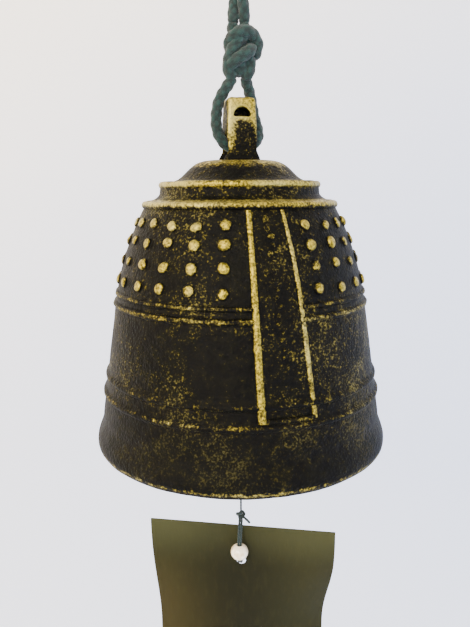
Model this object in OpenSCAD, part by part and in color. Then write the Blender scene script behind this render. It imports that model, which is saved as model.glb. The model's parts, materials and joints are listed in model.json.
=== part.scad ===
// A small wind bell in the form of a temple bell, hanging from a screw hook.
// Z is up, +Y is behind the bell, and the origin is the middle of the hook's
// flange where it meets the ceiling. Heights inside the modules are counted
// from the bell's rim, and each node is then lowered by the whole drop.

/* [Bell] */
// Outer radius of the mouth at the thickest part of the lip
mouth_r = 32.5; // [31:0.5:34]
// Height of the bell from the rim to the top of its crown
bell_h = 62; // [61:0.5:63]
// Thickness of the bell's wall above the lip
wall = 2.8; // [2.4:0.1:3]
// Rows of raised bosses under the shoulder
boss_rows = 4; // [2:1:4]
// Columns of bosses on each side between the two sashes
boss_columns = 11; // [5:2:11]
// Angle between two columns of bosses, in degrees
boss_step = 13.9; // [12:0.1:13.9]
// Height that ribs and bosses stand proud of the wall
relief = 0.6; // [0.4:0.1:0.8]
// Half the angle between the two ribs of a sash, in degrees
sash_half_angle = 9; // [7:0.5:10]

/* [Hanging] */
// Drop from the ceiling to the bell's rim
drop = 130; // [128:1:134]
// Diameter of the hanging cord
cord_d = 2.2; // [1.8:0.1:2.2]
// Diameter of the hook's wire
hook_wire_d = 2.6; // [2:0.1:2.6]
// Radius of the hook's bend at the middle of its wire
hook_bend_r = 6.8; // [6.4:0.2:7]
// Diameter of the hook's wood screw
screw_d = 3; // [2.6:0.1:3.4]
// Length of the hook's wood screw
screw_l = 12; // [8:1:16]

/* [Clapper] */
// Diameter of the clapper disc
clapper_d = 27; // [22:0.5:27]
// Thickness of the clapper disc
clapper_t = 3.6; // [3:0.2:3.6]
// Diameter of the thin thread
thread_d = 0.5; // [0.4:0.05:0.5]

/* [Wind card] */
// Width of the paper card
card_w = 45; // [38:1:48]
// Length of the paper card
card_l = 130; // [90:5:150]
// Thickness of the paper card
card_t = 0.4; // [0.3:0.05:0.4]
// Angle that the card hangs turned by, in degrees
card_turn = -22; // [-40:1:40]
// Diameter of the bead in front of the card
bead_d = 4.2; // [3.6:0.1:4.3]

/* [Hidden] */
$fn = 64;

// colours
brass = "#b8944a";
patina = "#2e2a26";
teal = "#2f5a58";
dark_thread = "#1d2a2c";
cream = "#e6dcc4";
olive = "#5a5a30";

// bell body, heights from the rim
lip_top = 8;
lip_z = 1.9;
lip_round = 1.7;
body_top = 51.5;
body_r = mouth_r - 1.6;
taper = 0.148;
shoulder_z = 30;
shoulder_pull = 3.46;
inner_r = mouth_r - 4.9;
inner_straight = 12;
hollow_top = 48;
ceiling_z = 55;
crown_r = 13.2;
ledge_r = 16.6;
step_r = 20.2;
shoulder_end = 20.6;
shoulder_top = 51.9;
step_z = 53.8;
step_ring_z = 52.9;
step_ring_r = 0.8;
ledge_z = 57.6;
ledge_ring_z = 57;
ledge_ring_r = 0.75;
dome_z = 57.9;
dome_top_r = 8;
cove_w = 2.8;
cove_h = 2;
ceiling_outline = [[17.2, 51.2], [12.6, 53.4], [7, 54.6], [4, ceiling_z], [0, ceiling_z]];
band_z = [13.3, 17.1, 32.4, 34.7];
band_r = 0.75;
sash_bottom = 14.5;
sash_top = 51.8;
rib_angle = 3.6;
boss_z = [49.2, 45.8, 41.8, 37.5];
boss_r = 1.45;
boss_first = 90 - boss_step * (boss_columns - 1) / 2;

// the loop on the crown
loop_base = bell_h - 1.5;
loop_top = bell_h + 12.4;
loop_w_base = 6.8;
loop_w_top = 5.7;
loop_d = 6.6;
loop_corner = 1.8;
passage_z = bell_h + 2.4;
passage_r = 1.6;
passage_mouth_r = 3.2;
passage_straight = 0.4;
window_z = bell_h + 8.9;
window_r = 1.8;

// hook, heights from the rim
hook_z = 110;
hook_r = hook_wire_d / 2;
hook_centre = hook_z + hook_bend_r;
neck_r = 3;
neck_rise = sqrt(pow(hook_bend_r + neck_r, 2) - neck_r * neck_r);
neck_angle = atan2(neck_rise, neck_r);
tip_angle = 166;
flange_r = 4.5;
flange_t = 1.2;

// cords, points [x, y, z] with z from the rim
cord_r = cord_d / 2;
hanging_route = [
    [-1.15, 0, 89.4], [-1.1, 0.3, 90.8], [-0.85, 0.8, 92.6], [-0.35, 1.1, 95],
    [0.3, 1.1, 97.4], [0.9, 0.7, 99.4], [1.6, 0.2, 101.4], [2.9, 0, 104], [4.1, 0, 107],
    [4.3, 0, 109.4], [3.1, 0, 111.6], [0, 0, 112.6], [-3.1, 0, 111.6], [-4.3, 0, 109.4],
    [-4.1, 0, 107], [-2.9, 0, 104], [-1.6, -0.2, 101.4], [-0.9, -0.7, 99.4],
    [-0.3, -1.1, 97.4], [0.35, -1.1, 95], [0.85, -0.8, 92.6], [1.1, -0.3, 90.8],
    [1.15, 0, 89.4]];
knot_outline = [[0, 78.3], [2.2, 78.3], [3, 80], [3.25, 83], [3.5, 86], [3, 87.4], [2, 88.2],
                [0, 88.2]];
knot_end = [2.4, -0.4, 85.7];
knot_end_r = 2.3;
sling_route = [
    [-1.2, 0, 79], [-2.8, 0, 76.8], [-4.3, 0, 74.2], [-4.9, 0, 71.5], [-4.9, 0, 69],
    [-4.2, 0, 66.9], [-2.6, 0, 65.2], [0, 0, 64.4], [2.6, 0, 65.2], [4.3, 0.9, 66.9],
    [4.6, 2.2, 69], [4.2, 3.2, 71.5], [3.6, 2.9, 74.2], [2.5, 1.3, 76.8], [1.2, 0, 79]];

// staple, threads and knots, heights from the rim
wire_r = 0.7;
staple_r = 2.2;
staple_z = 50.5;
staple_leg_top = 58.5;
thread_r = thread_d / 2;
eye_r = 1.3;
staple_knot_z = 47.6;
staple_knot_r = 0.85;
clapper_z = 12;
clapper_bore_r = 0.6;
stop_knot_r = 1.2;
stop_knot_z = clapper_z - clapper_t / 2 - stop_knot_r - 0.1;
knot_gap = 0.15;
strip_knot_z = -20.7;
strip_knot_r = 1;
tail_angle = 125;
tail_r = 0.3;
tail_l = 2.6;

// card and what ties it, in the card's own turned frame
card_top = -23.4;
hole_z = -32.6;
hole_r = 1.2;
bead_y = -2.6;
bead_z = -28.8;
bead_bore_r = 0.75;
tie_gap = 0.28;
back_knot_r = 1.3;
tie_route = [
    [0, -0.5, -21.2], [0, -1.8, -24], [0, -2.6, -26.6], [0, -2.6, -28.8], [0, -2.6, -30.9],
    [0, -1.5, -32.3], [0, 0.9, -32.6]];

// outer radius of the body at a height from the rim
function body_radius(z) =
    body_r - taper * (z - lip_top)
    - shoulder_pull * pow(max(0, z - shoulder_z) / (body_top - shoulder_z), 2.4);

// outline [radius, height] of the lip: a rounded foot, then a swell that dies out upwards
function lip_outline() = concat(
    [for (a = [-90 : 18 : -18]) [mouth_r - lip_round * (1 - cos(a)), lip_z * (1 + sin(a))]],
    [for (z = [lip_z : (lip_top - lip_z) / 8 : lip_top - 0.1])
        [body_r + (mouth_r - body_r) * (1 + cos(180 * (z - lip_z) / (lip_top - lip_z))) / 2, z]]);
// outline of the body above the lip
function body_outline() = [
    for (z = [lip_top : 2.175 : body_top]) [body_radius(z), z]];
// concave step between the two ledges of the crown
function cove_outline() = [
    for (a = [0 : 15 : 75]) [ledge_r + 0.4 + cove_w * (1 - sin(a)), step_z + cove_h * (1 - cos(a))]];
// rounded dome tier on the crown
function dome_outline() = [
    for (a = [0 : 15 : 90]) [dome_top_r + (crown_r - dome_top_r) * cos(a), dome_z + (bell_h - dome_z) * sin(a)]];

// points of a route, smoothed: a Catmull-Rom curve with steps points for each stretch
function along(p, i, t) =
    let (n = len(p) - 1, a = p[max(i - 1, 0)], b = p[i], c = p[i + 1], d = p[min(i + 2, n)])
    0.5 * (2 * b + (c - a) * t + (2 * a - 5 * b + 4 * c - d) * t * t
           + (3 * b - a - 3 * c + d) * t * t * t);
function smoothed(p, steps) = concat(
    [for (i = [0 : len(p) - 2]) for (k = [0 : steps - 1]) along(p, i, k / steps)],
    [p[len(p) - 1]]);
function unit(v) = v / norm(v);
function heading(p, i) = unit(p[min(i + 1, len(p) - 1)] - p[max(i - 1, 0)]);
// one ring of a tube, square to the route; side is a direction that the route never takes
function ring(p, i, r, sides, side) =
    let (t = heading(p, i), u = unit(cross(side, t)), v = cross(t, u))
    [for (k = [0 : sides - 1]) p[i] + r * (cos(360 * k / sides) * u + sin(360 * k / sides) * v)];

// middle of the hook's wire: from its tip round the bend, back over the neck and up to the flange
function hook_route() = concat(
    [for (k = [0 : 26]) let (a = tip_angle + (360 - tip_angle + neck_angle) * k / 26)
        [0, hook_bend_r * cos(a), hook_centre + hook_bend_r * sin(a)]],
    [for (k = [1 : 6]) let (a = 180 + neck_angle * (1 - k / 6))
        [0, neck_r + neck_r * cos(a), hook_centre + neck_rise + neck_r * sin(a)]],
    [[0, 0, drop - flange_t + 0.3]]);

// a round tube along a route, closed at both ends
module tube(route, r, steps = 2, sides = 8, side = [0, 1, 0]) {
    p = smoothed(route, steps);
    n = len(p);
    polyhedron(
        points = [for (i = [0 : n - 1]) each ring(p, i, r, sides, side)],
        faces = concat(
            [[for (k = [0 : sides - 1]) k]],
            [for (i = [0 : n - 2]) for (k = [0 : sides - 1])
                [i * sides + k, (i + 1) * sides + k, (i + 1) * sides + (k + 1) % sides]],
            [for (i = [0 : n - 2]) for (k = [0 : sides - 1])
                [i * sides + k, (i + 1) * sides + (k + 1) % sides, i * sides + (k + 1) % sides]],
            [[for (k = [sides - 1 : -1 : 0]) (n - 1) * sides + k]]));
}

// puts a shape drawn with heights from the rim into the row's frame
module hang() {
    translate([0, 0, -drop])
        children();
}

// the card's own frame, turned about the thread
module card_frame() {
    rotate([0, 0, card_turn])
        children();
}

// a shape drawn in the XY plane, stood up in the YZ plane
module stand_yz() {
    rotate([90, 0, 90])
        children();
}

module ceiling_hook() {
    color(brass) hang() {
        tube(hook_route(), hook_r, 1, 16, [1, 0, 0]);
        translate([0, 0, drop - flange_t]) cylinder(r = flange_r, h = flange_t);
        translate([0, 0, drop]) cylinder(d = screw_d, h = screw_l - screw_d);
        translate([0, 0, drop + screw_l - screw_d]) cylinder(d1 = screw_d, d2 = 0.2, h = screw_d);
    }
}

module hanging_cord() {
    color(teal) hang() tube(hanging_route, cord_r);
}

module cord_knot() {
    color(teal) hang() {
        rotate_extrude() polygon(knot_outline);
        translate(knot_end) sphere(r = knot_end_r);
    }
}

module bell_sling() {
    color(teal) hang() tube(sling_route, cord_r);
}

// outside of the bell, turned from its outline
module bell_outside() {
    rotate_extrude()
        polygon(concat(
            [[0, 0]],
            lip_outline(),
            body_outline(),
            [[shoulder_end, shoulder_top], [step_r, step_z]],
            cove_outline(),
            [[ledge_r, ledge_z], [crown_r, dome_z - 0.1]],
            dome_outline(),
            [[0, bell_h]]));
    bead_ring(step_ring_z, step_r, step_ring_r);
    bead_ring(ledge_ring_z, ledge_r, ledge_ring_r);
    for (z = band_z) bead_ring(z, body_radius(z) - 0.15, band_r);
}

// a raised ring round the bell
module bead_ring(z, r, thick) {
    translate([0, 0, z])
        rotate_extrude() translate([r, 0]) circle(r = thick, $fn = 24);
}

// hollow of the bell, open at the mouth
module bell_hollow() {
    rotate_extrude()
        polygon(concat(
            [[0, -1], [inner_r, -1], [inner_r, 6]],
            [for (z = [inner_straight : 6 : hollow_top]) [body_radius(z) - wall, z]],
            ceiling_outline));
}

// one rib of a sash: a thin slice of the body's outline, turned through the rib's width
module sash_rib(at) {
    rotate([0, 0, at - rib_angle / 2])
        rotate_extrude(angle = rib_angle)
            polygon(concat(
                [for (z = [sash_bottom : 3.73 : sash_top]) [body_radius(z) + relief, z]],
                [for (z = [sash_top : -3.73 : sash_bottom]) [body_radius(z) - 1.2, z]]));
}

// the closing rib along the bottom of a sash
module sash_foot(at) {
    rotate([0, 0, at - sash_half_angle])
        rotate_extrude(angle = 2 * sash_half_angle)
            translate([body_radius(sash_bottom), sash_bottom])
                circle(r = band_r, $fn = 24);
}

module bosses(at) {
    for (i = [0 : boss_rows - 1]) for (k = [0 : boss_columns - 1])
        rotate([0, 0, at + boss_first + k * boss_step])
            translate([body_radius(boss_z[i]) - relief, 0, boss_z[i]])
                sphere(r = boss_r, $fn = 24);
}

// outline of the loop seen from the front or from the side, with rounded top corners
module loop_outline(w_base, w_top, corner) {
    polygon(concat(
        [[-w_base / 2, loop_base], [w_base / 2, loop_base]],
        [for (a = [0 : 22.5 : 90])
            [w_top / 2 - corner + corner * cos(a), loop_top - corner + corner * sin(a)]],
        [for (a = [90 : 22.5 : 180])
            [-w_top / 2 + corner + corner * cos(a), loop_top - corner + corner * sin(a)]]));
}

module crown_loop() {
    difference() {
        intersection() {
            rotate([90, 0, 0])
                linear_extrude(loop_d, center = true)
                    loop_outline(loop_w_base, loop_w_top, loop_corner);
            stand_yz()
                linear_extrude(loop_w_base, center = true)
                    loop_outline(loop_d, loop_d - 0.6, loop_corner / 2);
        }
        // passage for the cord, flared to both sides
        translate([0, 0, passage_z]) rotate([0, 90, 0]) {
            cylinder(r = passage_r, h = loop_w_base + 1, center = true);
            for (m = [0, 1]) mirror([0, 0, m]) translate([0, 0, passage_straight])
                cylinder(r1 = passage_r, r2 = passage_mouth_r,
                         h = loop_w_base / 2 - passage_straight);
        }
        // arched window from front to back
        translate([0, 0, window_z]) rotate([90, 0, 0])
            linear_extrude(loop_d + 1, center = true)
                intersection() {
                    circle(r = window_r);
                    translate([-window_r, 0]) square([2 * window_r, window_r]);
                }
        // groove under the window
        translate([0, -loop_d / 2, window_z - 0.7])
            cube([loop_w_base + 1, 0.7, 0.5], center = true);
    }
}

module bell_casting() {
    color(patina) hang() difference() {
        union() {
            bell_outside();
            for (at = [-90, 90]) {
                for (s = [-1, 1]) sash_rib(at + s * sash_half_angle);
                sash_foot(at);
                bosses(at);
            }
            crown_loop();
        }
        bell_hollow();
        for (s = [-1, 1]) translate([s * staple_r, 0, staple_z + staple_r])
            cylinder(r = wire_r, h = staple_leg_top - staple_z - staple_r);
    }
}

module clapper_staple() {
    color(brass) hang() {
        translate([0, 0, staple_z + staple_r]) {
            rotate([90, 0, 0]) rotate([0, 0, 180])
                rotate_extrude(angle = 180)
                    translate([staple_r, 0]) circle(r = wire_r);
            for (s = [-1, 1]) translate([s * staple_r, 0, 0])
                cylinder(r = wire_r, h = staple_leg_top - staple_z - staple_r);
        }
    }
}

module staple_loop() {
    color(dark_thread) hang() translate([0, 0, staple_z - 0.3])
        stand_yz() rotate_extrude() translate([eye_r, 0]) circle(r = thread_r);
}

module staple_knot() {
    color(dark_thread) hang() translate([0, 0, staple_knot_z]) sphere(r = staple_knot_r);
}

module clapper_thread() {
    top = staple_knot_z - staple_knot_r - knot_gap;
    bottom = clapper_z - clapper_t / 2 + 0.1;
    color(dark_thread) hang()
        tube([for (k = [0 : 24]) [0, 0, top + (bottom - top) * k / 24]], thread_r, 1);
}

module clapper() {
    edge = clapper_t / 2;
    color(brass) hang() translate([0, 0, clapper_z]) difference() {
        union() {
            cylinder(d = clapper_d - clapper_t, h = clapper_t, center = true);
            rotate_extrude() translate([clapper_d / 2 - edge, 0]) circle(r = edge);
        }
        cylinder(r = clapper_bore_r, h = clapper_t + 1, center = true);
    }
}

module stop_knot() {
    color(dark_thread) hang() translate([0, 0, stop_knot_z]) sphere(r = stop_knot_r);
}

module strip_thread() {
    top = stop_knot_z - stop_knot_r - knot_gap;
    bottom = strip_knot_z + strip_knot_r + knot_gap;
    color(dark_thread) hang()
        tube([for (k = [0 : 20]) [0, 0, top + (bottom - top) * k / 20]], thread_r, 1);
}

module strip_knot() {
    color(dark_thread) hang() card_frame() translate([0, 0, strip_knot_z]) {
        sphere(r = strip_knot_r);
        rotate([0, tail_angle, 0]) cylinder(r = tail_r, h = tail_l);
    }
}

module card_ties() {
    color(dark_thread) hang() card_frame()
        for (s = [-1, 1]) translate([s * tie_gap, 0, 0])
            tube(tie_route, thread_r, 2, 8, [1, 0, 0]);
}

module bead() {
    color(cream) hang() card_frame() translate([0, bead_y, bead_z]) difference() {
        sphere(d = bead_d);
        cylinder(r = bead_bore_r, h = bead_d + 1, center = true);
    }
}

module back_knot() {
    color(dark_thread) hang() card_frame()
        translate([0, card_t / 2 + back_knot_r + 0.2, hole_z]) sphere(r = back_knot_r);
}

module wind_card() {
    color(olive) hang() card_frame() rotate([90, 0, 0])
        linear_extrude(card_t, center = true) difference() {
            translate([-card_w / 2, card_top - card_l]) square([card_w, card_l]);
            translate([0, hole_z]) circle(r = hole_r);
        }
}

ceiling_hook();
hanging_cord();
cord_knot();
bell_sling();
bell_casting();
clapper_staple();
staple_loop();
staple_knot();
clapper_thread();
clapper();
stop_knot();
strip_thread();
strip_knot();
card_ties();
bead();
back_knot();
wind_card();
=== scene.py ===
# %% [markdown]
# # A small wind bell
# This file builds a Japanese wind bell in the form of a temple bell, hanging from a hook by a
# braided cord, with a clapper inside and a paper card below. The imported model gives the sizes,
# the places and the joints, so it is loaded first, and every new piece is made where its plain
# version already stands. Lengths are worked out in millimetres from the bell's rim, because
# that is how a maker would measure them, and one helper turns them into the scene's metres.

# %% Load the frame
import json
import random
from math import cos, pi, radians, sin, sqrt, tau

import bmesh
import bpy
import numpy as np
from mathutils import Matrix, Vector, noise

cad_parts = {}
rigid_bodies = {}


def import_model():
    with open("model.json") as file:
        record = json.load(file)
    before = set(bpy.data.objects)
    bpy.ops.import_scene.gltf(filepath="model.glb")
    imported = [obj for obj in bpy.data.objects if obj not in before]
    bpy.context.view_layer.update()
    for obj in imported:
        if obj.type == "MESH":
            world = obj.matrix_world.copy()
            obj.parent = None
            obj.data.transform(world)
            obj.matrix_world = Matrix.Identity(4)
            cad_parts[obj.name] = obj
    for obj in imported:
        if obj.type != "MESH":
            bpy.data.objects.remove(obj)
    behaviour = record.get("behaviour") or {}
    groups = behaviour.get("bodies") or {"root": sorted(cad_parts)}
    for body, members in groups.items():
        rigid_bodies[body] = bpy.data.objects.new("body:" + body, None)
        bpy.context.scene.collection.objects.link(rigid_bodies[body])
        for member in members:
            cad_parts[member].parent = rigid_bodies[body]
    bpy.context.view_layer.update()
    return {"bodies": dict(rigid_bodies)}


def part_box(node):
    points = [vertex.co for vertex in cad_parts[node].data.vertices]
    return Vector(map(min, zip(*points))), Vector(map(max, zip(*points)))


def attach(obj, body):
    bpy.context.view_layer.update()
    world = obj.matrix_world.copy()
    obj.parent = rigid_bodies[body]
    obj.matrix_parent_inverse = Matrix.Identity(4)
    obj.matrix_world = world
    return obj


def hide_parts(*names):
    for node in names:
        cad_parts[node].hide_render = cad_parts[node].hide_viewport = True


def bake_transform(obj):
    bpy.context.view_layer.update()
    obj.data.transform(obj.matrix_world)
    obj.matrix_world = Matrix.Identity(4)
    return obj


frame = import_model()
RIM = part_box("bell_casting")[0].z
print("bodies:", ", ".join(sorted(frame["bodies"])))
print(f"the bell's rim hangs {-1000 * RIM:.0f} mm below the ceiling")


def at(x, y, z):
    """A point in metres, from millimetres with the height counted from the bell's rim."""
    return Vector((x / 1000, y / 1000, RIM + z / 1000))


def into_scene(obj):
    bpy.context.scene.collection.objects.link(obj)


# %% [markdown]
# ## The camera
# A small object looks right only from the distance it was really seen from, so the camera
# stands about 13 cm from the bell's axis, a little to its left and a little above its middle,
# and looks down by 11 degrees. Its turn, its tilt and its slight roll are three rotations, one
# after the other, which is easier to follow than one set of combined angles.

# %% Camera
STANDS_AT = (-0.0312, -0.1300, -0.0748)
TURN, LOOKS_DOWN, ROLL = -13.01, 11.19, -0.36
lens = bpy.data.cameras.new("camera")
lens.lens = 34.79
lens.clip_start = 0.005
camera = bpy.data.objects.new("camera", lens)
into_scene(camera)
camera.matrix_world = (
    Matrix.Translation(STANDS_AT)
    @ Matrix.Rotation(radians(TURN), 4, "Z")
    @ Matrix.Rotation(radians(90 - LOOKS_DOWN), 4, "X")
    @ Matrix.Rotation(radians(ROLL), 4, "Z")
)
bpy.context.scene.camera = camera
print("camera stands at", [round(1000 * v) for v in camera.matrix_world.translation], "mm")


# %% [markdown]
# ## Cord and thread
# A cord is a line with a thickness. Its line is a smooth curve through a few points, and its
# skin is a row of rings along that curve. A curve object could do this, but a braid needs a
# skin that rises over each strand, so the rings are made in code and every point is pushed out
# by a small pattern of the run along the cord and the turn round it. The same pattern is kept
# as a number on each point, for the material to paint shade into the grooves with.

# %% Line through points
def smooth_line(points, gap):
    """Points a gap apart, in millimetres, on the smooth curve through the given points."""
    p = [Vector(q) for q in points]
    fine = []
    for i in range(len(p) - 1):
        a, b, c, d = p[max(i - 1, 0)], p[i], p[i + 1], p[min(i + 2, len(p) - 1)]
        for k in range(24):
            t = k / 24
            fine.append(0.5 * (2 * b + (c - a) * t + (2 * a - 5 * b + 4 * c - d) * t * t
                               + (3 * b - a - 3 * c + d) * t ** 3))
    fine.append(p[-1])
    steps = [(v - u).length for u, v in zip(fine, fine[1:])]
    run = np.cumsum([0] + steps)
    places = np.linspace(0, run[-1], max(8, round(run[-1] / gap)) + 1)
    xyz = np.array(fine)
    return [Vector([np.interp(s, run, xyz[:, k]) for k in range(3)]) for s in places]


def length_of(line):
    return sum((b - a).length for a, b in zip(line, line[1:]))


# %% Skins
def braid(run, turn):
    """Height of a braid's skin, 0 in the grooves and 1 on the strands."""
    a, b = 4 * turn + run / 2.1, 4 * turn - run / 2.1
    return (abs(sin(pi * a)) * abs(sin(pi * b))) ** 0.55


def two_ply(run, turn):
    """Height of a thin thread's skin, twisted from two yarns."""
    return abs(cos(pi * (2 * turn - run / 0.8)))


# %% Rings along a line
def rope(name, points, radius, skin=braid, gap=0.2, sides=24, taper=0.0):
    """A closed cord along the points, in millimetres from the rim, with its skin and its UVs."""
    line = smooth_line(points, gap)
    n = len(line)
    heading = [(line[min(i + 1, n - 1)] - line[max(i - 1, 0)]).normalized() for i in range(n)]
    side = heading[0].orthogonal().normalized()
    verts, heights, runs = [], [], []
    run = 0.0
    for i, (p, t) in enumerate(zip(line, heading)):
        side = (side - t * side.dot(t)).normalized()
        up = t.cross(side)
        run += (p - line[i - 1]).length if i else 0.0
        near_end = min(i, n - 1 - i) * gap / radius
        slim = sqrt(max(0.0, 1 - (1 - min(1.0, near_end)) ** 2)) * 0.35 + 0.65
        for k in range(sides):
            turn = k / sides
            h = skin(run, turn)
            r = radius * slim * (0.95 + 0.2 * h) * (1 - taper * i / n)
            verts.append(at(*(p + r * (cos(tau * turn) * side + sin(tau * turn) * up))))
            heights.append(h)
        runs.append(run)
    faces = [
        (i * sides + k, i * sides + (k + 1) % sides, (i + 1) * sides + (k + 1) % sides,
         (i + 1) * sides + k)
        for i in range(n - 1) for k in range(sides)
    ]
    for i, t in ((0, -heading[0]), (n - 1, heading[-1])):
        verts.append(at(*(line[i] + t * radius * 0.25)))
        heights.append(0.4)
        tip = len(verts) - 1
        for k in range(sides):
            pair = (i * sides + k, i * sides + (k + 1) % sides)
            faces.append((*pair, tip) if i else (*pair[::-1], tip))
    mesh = bpy.data.meshes.new(name)
    mesh.from_pydata(verts, [], faces)
    uv = mesh.uv_layers.new(name="along")
    for face in mesh.polygons:
        last = len(face.vertices) == 4 and face.vertices[1] % sides == 0
        for loop, v in zip(face.loop_indices, face.vertices):
            i, k = min(v // sides, n - 1), v % sides
            around = 1.0 if last and k == 0 else k / sides
            uv.data[loop].uv = (runs[i] / 10, around)
    mesh.attributes.new("skin", "FLOAT", "POINT").data.foreach_set("value", heights)
    obj = bpy.data.objects.new(name, mesh)
    into_scene(obj)
    for face in mesh.polygons:
        face.use_smooth = True
    return obj, line


# %% [markdown]
# ## The hanging cord
# One closed loop of braided cord carries the bell. Its two strands twist round each other
# above the knot and pass over the hook as one bight. The lower end meets the knot, which
# can spin, and the upper end the hook.

# %% Hanging cord
hanging_route = [
    (-1.15, 0, 89.4), (-1.1, 0.3, 90.8), (-0.85, 0.8, 92.6), (-0.35, 1.1, 95), (0.3, 1.1, 97.4),
    (0.9, 0.7, 99.4), (1.6, 0.2, 101.4), (2.9, 0, 104), (4.1, 0, 107), (4.3, 0, 109.4),
    (3.1, 0, 111.6), (0, 0, 112.6), (-3.1, 0, 111.6), (-4.3, 0, 109.4), (-4.1, 0, 107),
    (-2.9, 0, 104), (-1.6, -0.2, 101.4), (-0.9, -0.7, 99.4), (-0.3, -1.1, 97.4),
    (0.35, -1.1, 95), (0.85, -0.8, 92.6), (1.1, -0.3, 90.8), (1.15, 0, 89.4)]
hanging_cord, hanging_line = rope("cord_over_hook", hanging_route, 1.1)
print(f"hanging cord: {length_of(hanging_line):.1f} mm from knot to knot")

# %% Sling through the bell's loop
sling_route = [
    (-1.2, 0, 79), (-2.8, 0, 76.8), (-4.3, 0, 74.2), (-4.9, 0, 71.5), (-4.9, 0, 69),
    (-4.2, 0, 66.9), (-2.6, 0, 65.2), (0, 0, 64.4), (2.6, 0, 65.2), (4.3, 0.9, 66.9),
    (4.6, 2.2, 69), (4.2, 3.4, 71.5), (3.6, 3.35, 74.4), (2.5, 1.6, 76.9), (1.2, 0, 79)]
bell_sling, sling_line = rope("cord_through_loop", sling_route, 1.1)
print(f"sling: {length_of(sling_line):.1f} mm through the bell's loop")

# %% [markdown]
# ## The knot
# The two strands are tied in one fat overhand knot above the bell. It is made of the strands
# themselves: two run up through the middle, one wraps round them at the waist, and one crosses
# over the front and ends as a blunt lobe at the upper right. A short plug of cord fills the
# heart of the knot, where the strands press together and no gap can be seen.

# %% Clear and join
def join(parts, name):
    """Several objects made one, as with Ctrl J."""
    clear()
    for part in parts:
        part.select_set(True)
    bpy.context.view_layer.objects.active = parts[0]
    bpy.ops.object.join()
    parts[0].name = parts[0].data.name = name
    return parts[0]


def clear():
    """Back to object mode, with nothing selected."""
    if bpy.context.mode != "OBJECT":
        bpy.ops.object.mode_set(mode="OBJECT")
    bpy.ops.object.select_all(action="DESELECT")


# %% Knot
knot_strands = [
    [(-1.2, 0, 78.6), (-2.3, -0.5, 80.4), (-2.2, -0.9, 82.6), (-1.2, -1.3, 84.9),
     (0.4, -1.2, 86.8), (1.1, -0.3, 88.4), (1.15, 0, 89.6)],
    [(1.2, 0, 78.6), (2.0, -0.5, 80.3), (2.2, -0.5, 82.4), (1.6, 0.6, 84.6), (0, 1.0, 86.8),
     (-1.1, 0.3, 88.4), (-1.15, 0, 89.6)],
    [(-1.6, 0.9, 84.0), (-2.0, -0.4, 85.8), (-0.8, -1.8, 87.1), (1.2, -1.9, 87.6),
     (2.9, -1.0, 87.0), (3.8, -0.4, 85.6), (3.6, -0.3, 84.2), (3.0, -0.3, 82.8)],
    [(0.2, 0.6, 85.6), (1.6, 0.4, 86.2), (2.5, 0.1, 85.4), (2.3, 0.0, 84.0)],
    [(1.2, 1.8, 83.5), (2.3, 0.9, 84.9), (2.5, -0.6, 84.5), (1.4, -1.9, 83.6),
     (-0.5, -2.0, 82.4), (-1.9, -1.2, 81.3), (-2.1, 0.4, 81.1), (-0.9, 1.7, 82.0),
     (0.9, 1.8, 83.2)],
    [(0, 0.2, 79.4), (0.1, 0, 82), (0, 0.1, 85), (0, 0, 87.8)],
]
strands = [rope(f"strand_{i}", route, 1.2 if i < 5 else 1.9)[0]
           for i, route in enumerate(knot_strands)]
cord_knot = join(strands, "tied_knot")
print("knot:", len(cord_knot.data.polygons), "faces in", len(knot_strands), "strands")

# %% [markdown]
# ## Threads below
# A thin two-ply thread holds the clapper, and goes on down to the paper card. Each stretch is a
# cord of its own, because each swings by itself. The small knots between them are real ones
# too: a trefoil is the simplest closed curve with a knot in it, so a trefoil of thread, drawn
# small, looks like thread tied in a lump.

# %% Threads
clapper_thread, clapper_line = rope(
    "thread_to_clapper", [(0, 0, 46.9), (0, 0, 34), (0, 0, 22), (0, 0, 10.4)], 0.23,
    two_ply, 0.16, 10)
strip_thread, strip_line = rope(
    "thread_to_card", [(0, 0, 10.1), (0, 0, 0), (0, 0, -10), (0, 0, -20.7)], 0.22,
    two_ply, 0.16, 10)
print(f"threads: {length_of(clapper_line):.1f} mm and {length_of(strip_line):.1f} mm")


# %% Small knots
def small_knot(name, centre, size, squeeze=0.8, turn=0.0, thread=0.27):
    """A trefoil of thread about a point in millimetres from the rim."""
    route = []
    for k in range(25):
        t = tau * k / 24 + turn
        x, y, z = sin(t) + 2 * sin(2 * t), cos(t) - 2 * cos(2 * t), -sin(3 * t)
        route.append((centre[0] + x * size / 3.4, centre[1] + z * size / 2.4,
                      centre[2] + y * size * squeeze / 3.4))
    heart = [(centre[0], centre[1], centre[2] + size * h) for h in (-0.45, -0.1, 0.2, 0.45)]
    parts = [rope(name + "_a", route, thread, two_ply, 0.12, 9)[0],
             rope(name + "_b", heart, size * 0.5, two_ply, 0.12, 12)[0]]
    return join(parts, name)


CARD_TURN = radians(-22)


def card_at(x, y, z):
    """A point of the card's own turned frame, as millimetres from the rim in the row's frame."""
    return (x * cos(CARD_TURN) - y * sin(CARD_TURN), x * sin(CARD_TURN) + y * cos(CARD_TURN), z)


staple_knot = small_knot("knot_on_staple", (0, 0, 47.6), 0.75)
stop_knot = small_knot("knot_under_clapper", (0, 0, 8.9), 1.05, turn=0.4)
back_knot = small_knot("knot_behind_card", card_at(0, 1.6, -32.6), 1.1, turn=0.9)
strip_lump = small_knot("strip_lump", (-0.1, 0, -20.6), 1.05, 0.95, 0.2, 0.28)
strip_tail, _ = rope("strip_tail", [card_at(0.2, -0.2, -20.7), card_at(0.9, -0.7, -20.9),
                                    card_at(1.7, -1.0, -21.4), card_at(2.3, -1.1, -22.0)],
                     0.26, two_ply, 0.12, 9)
strip_knot = join([strip_lump, strip_tail], "knot_above_card")

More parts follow.
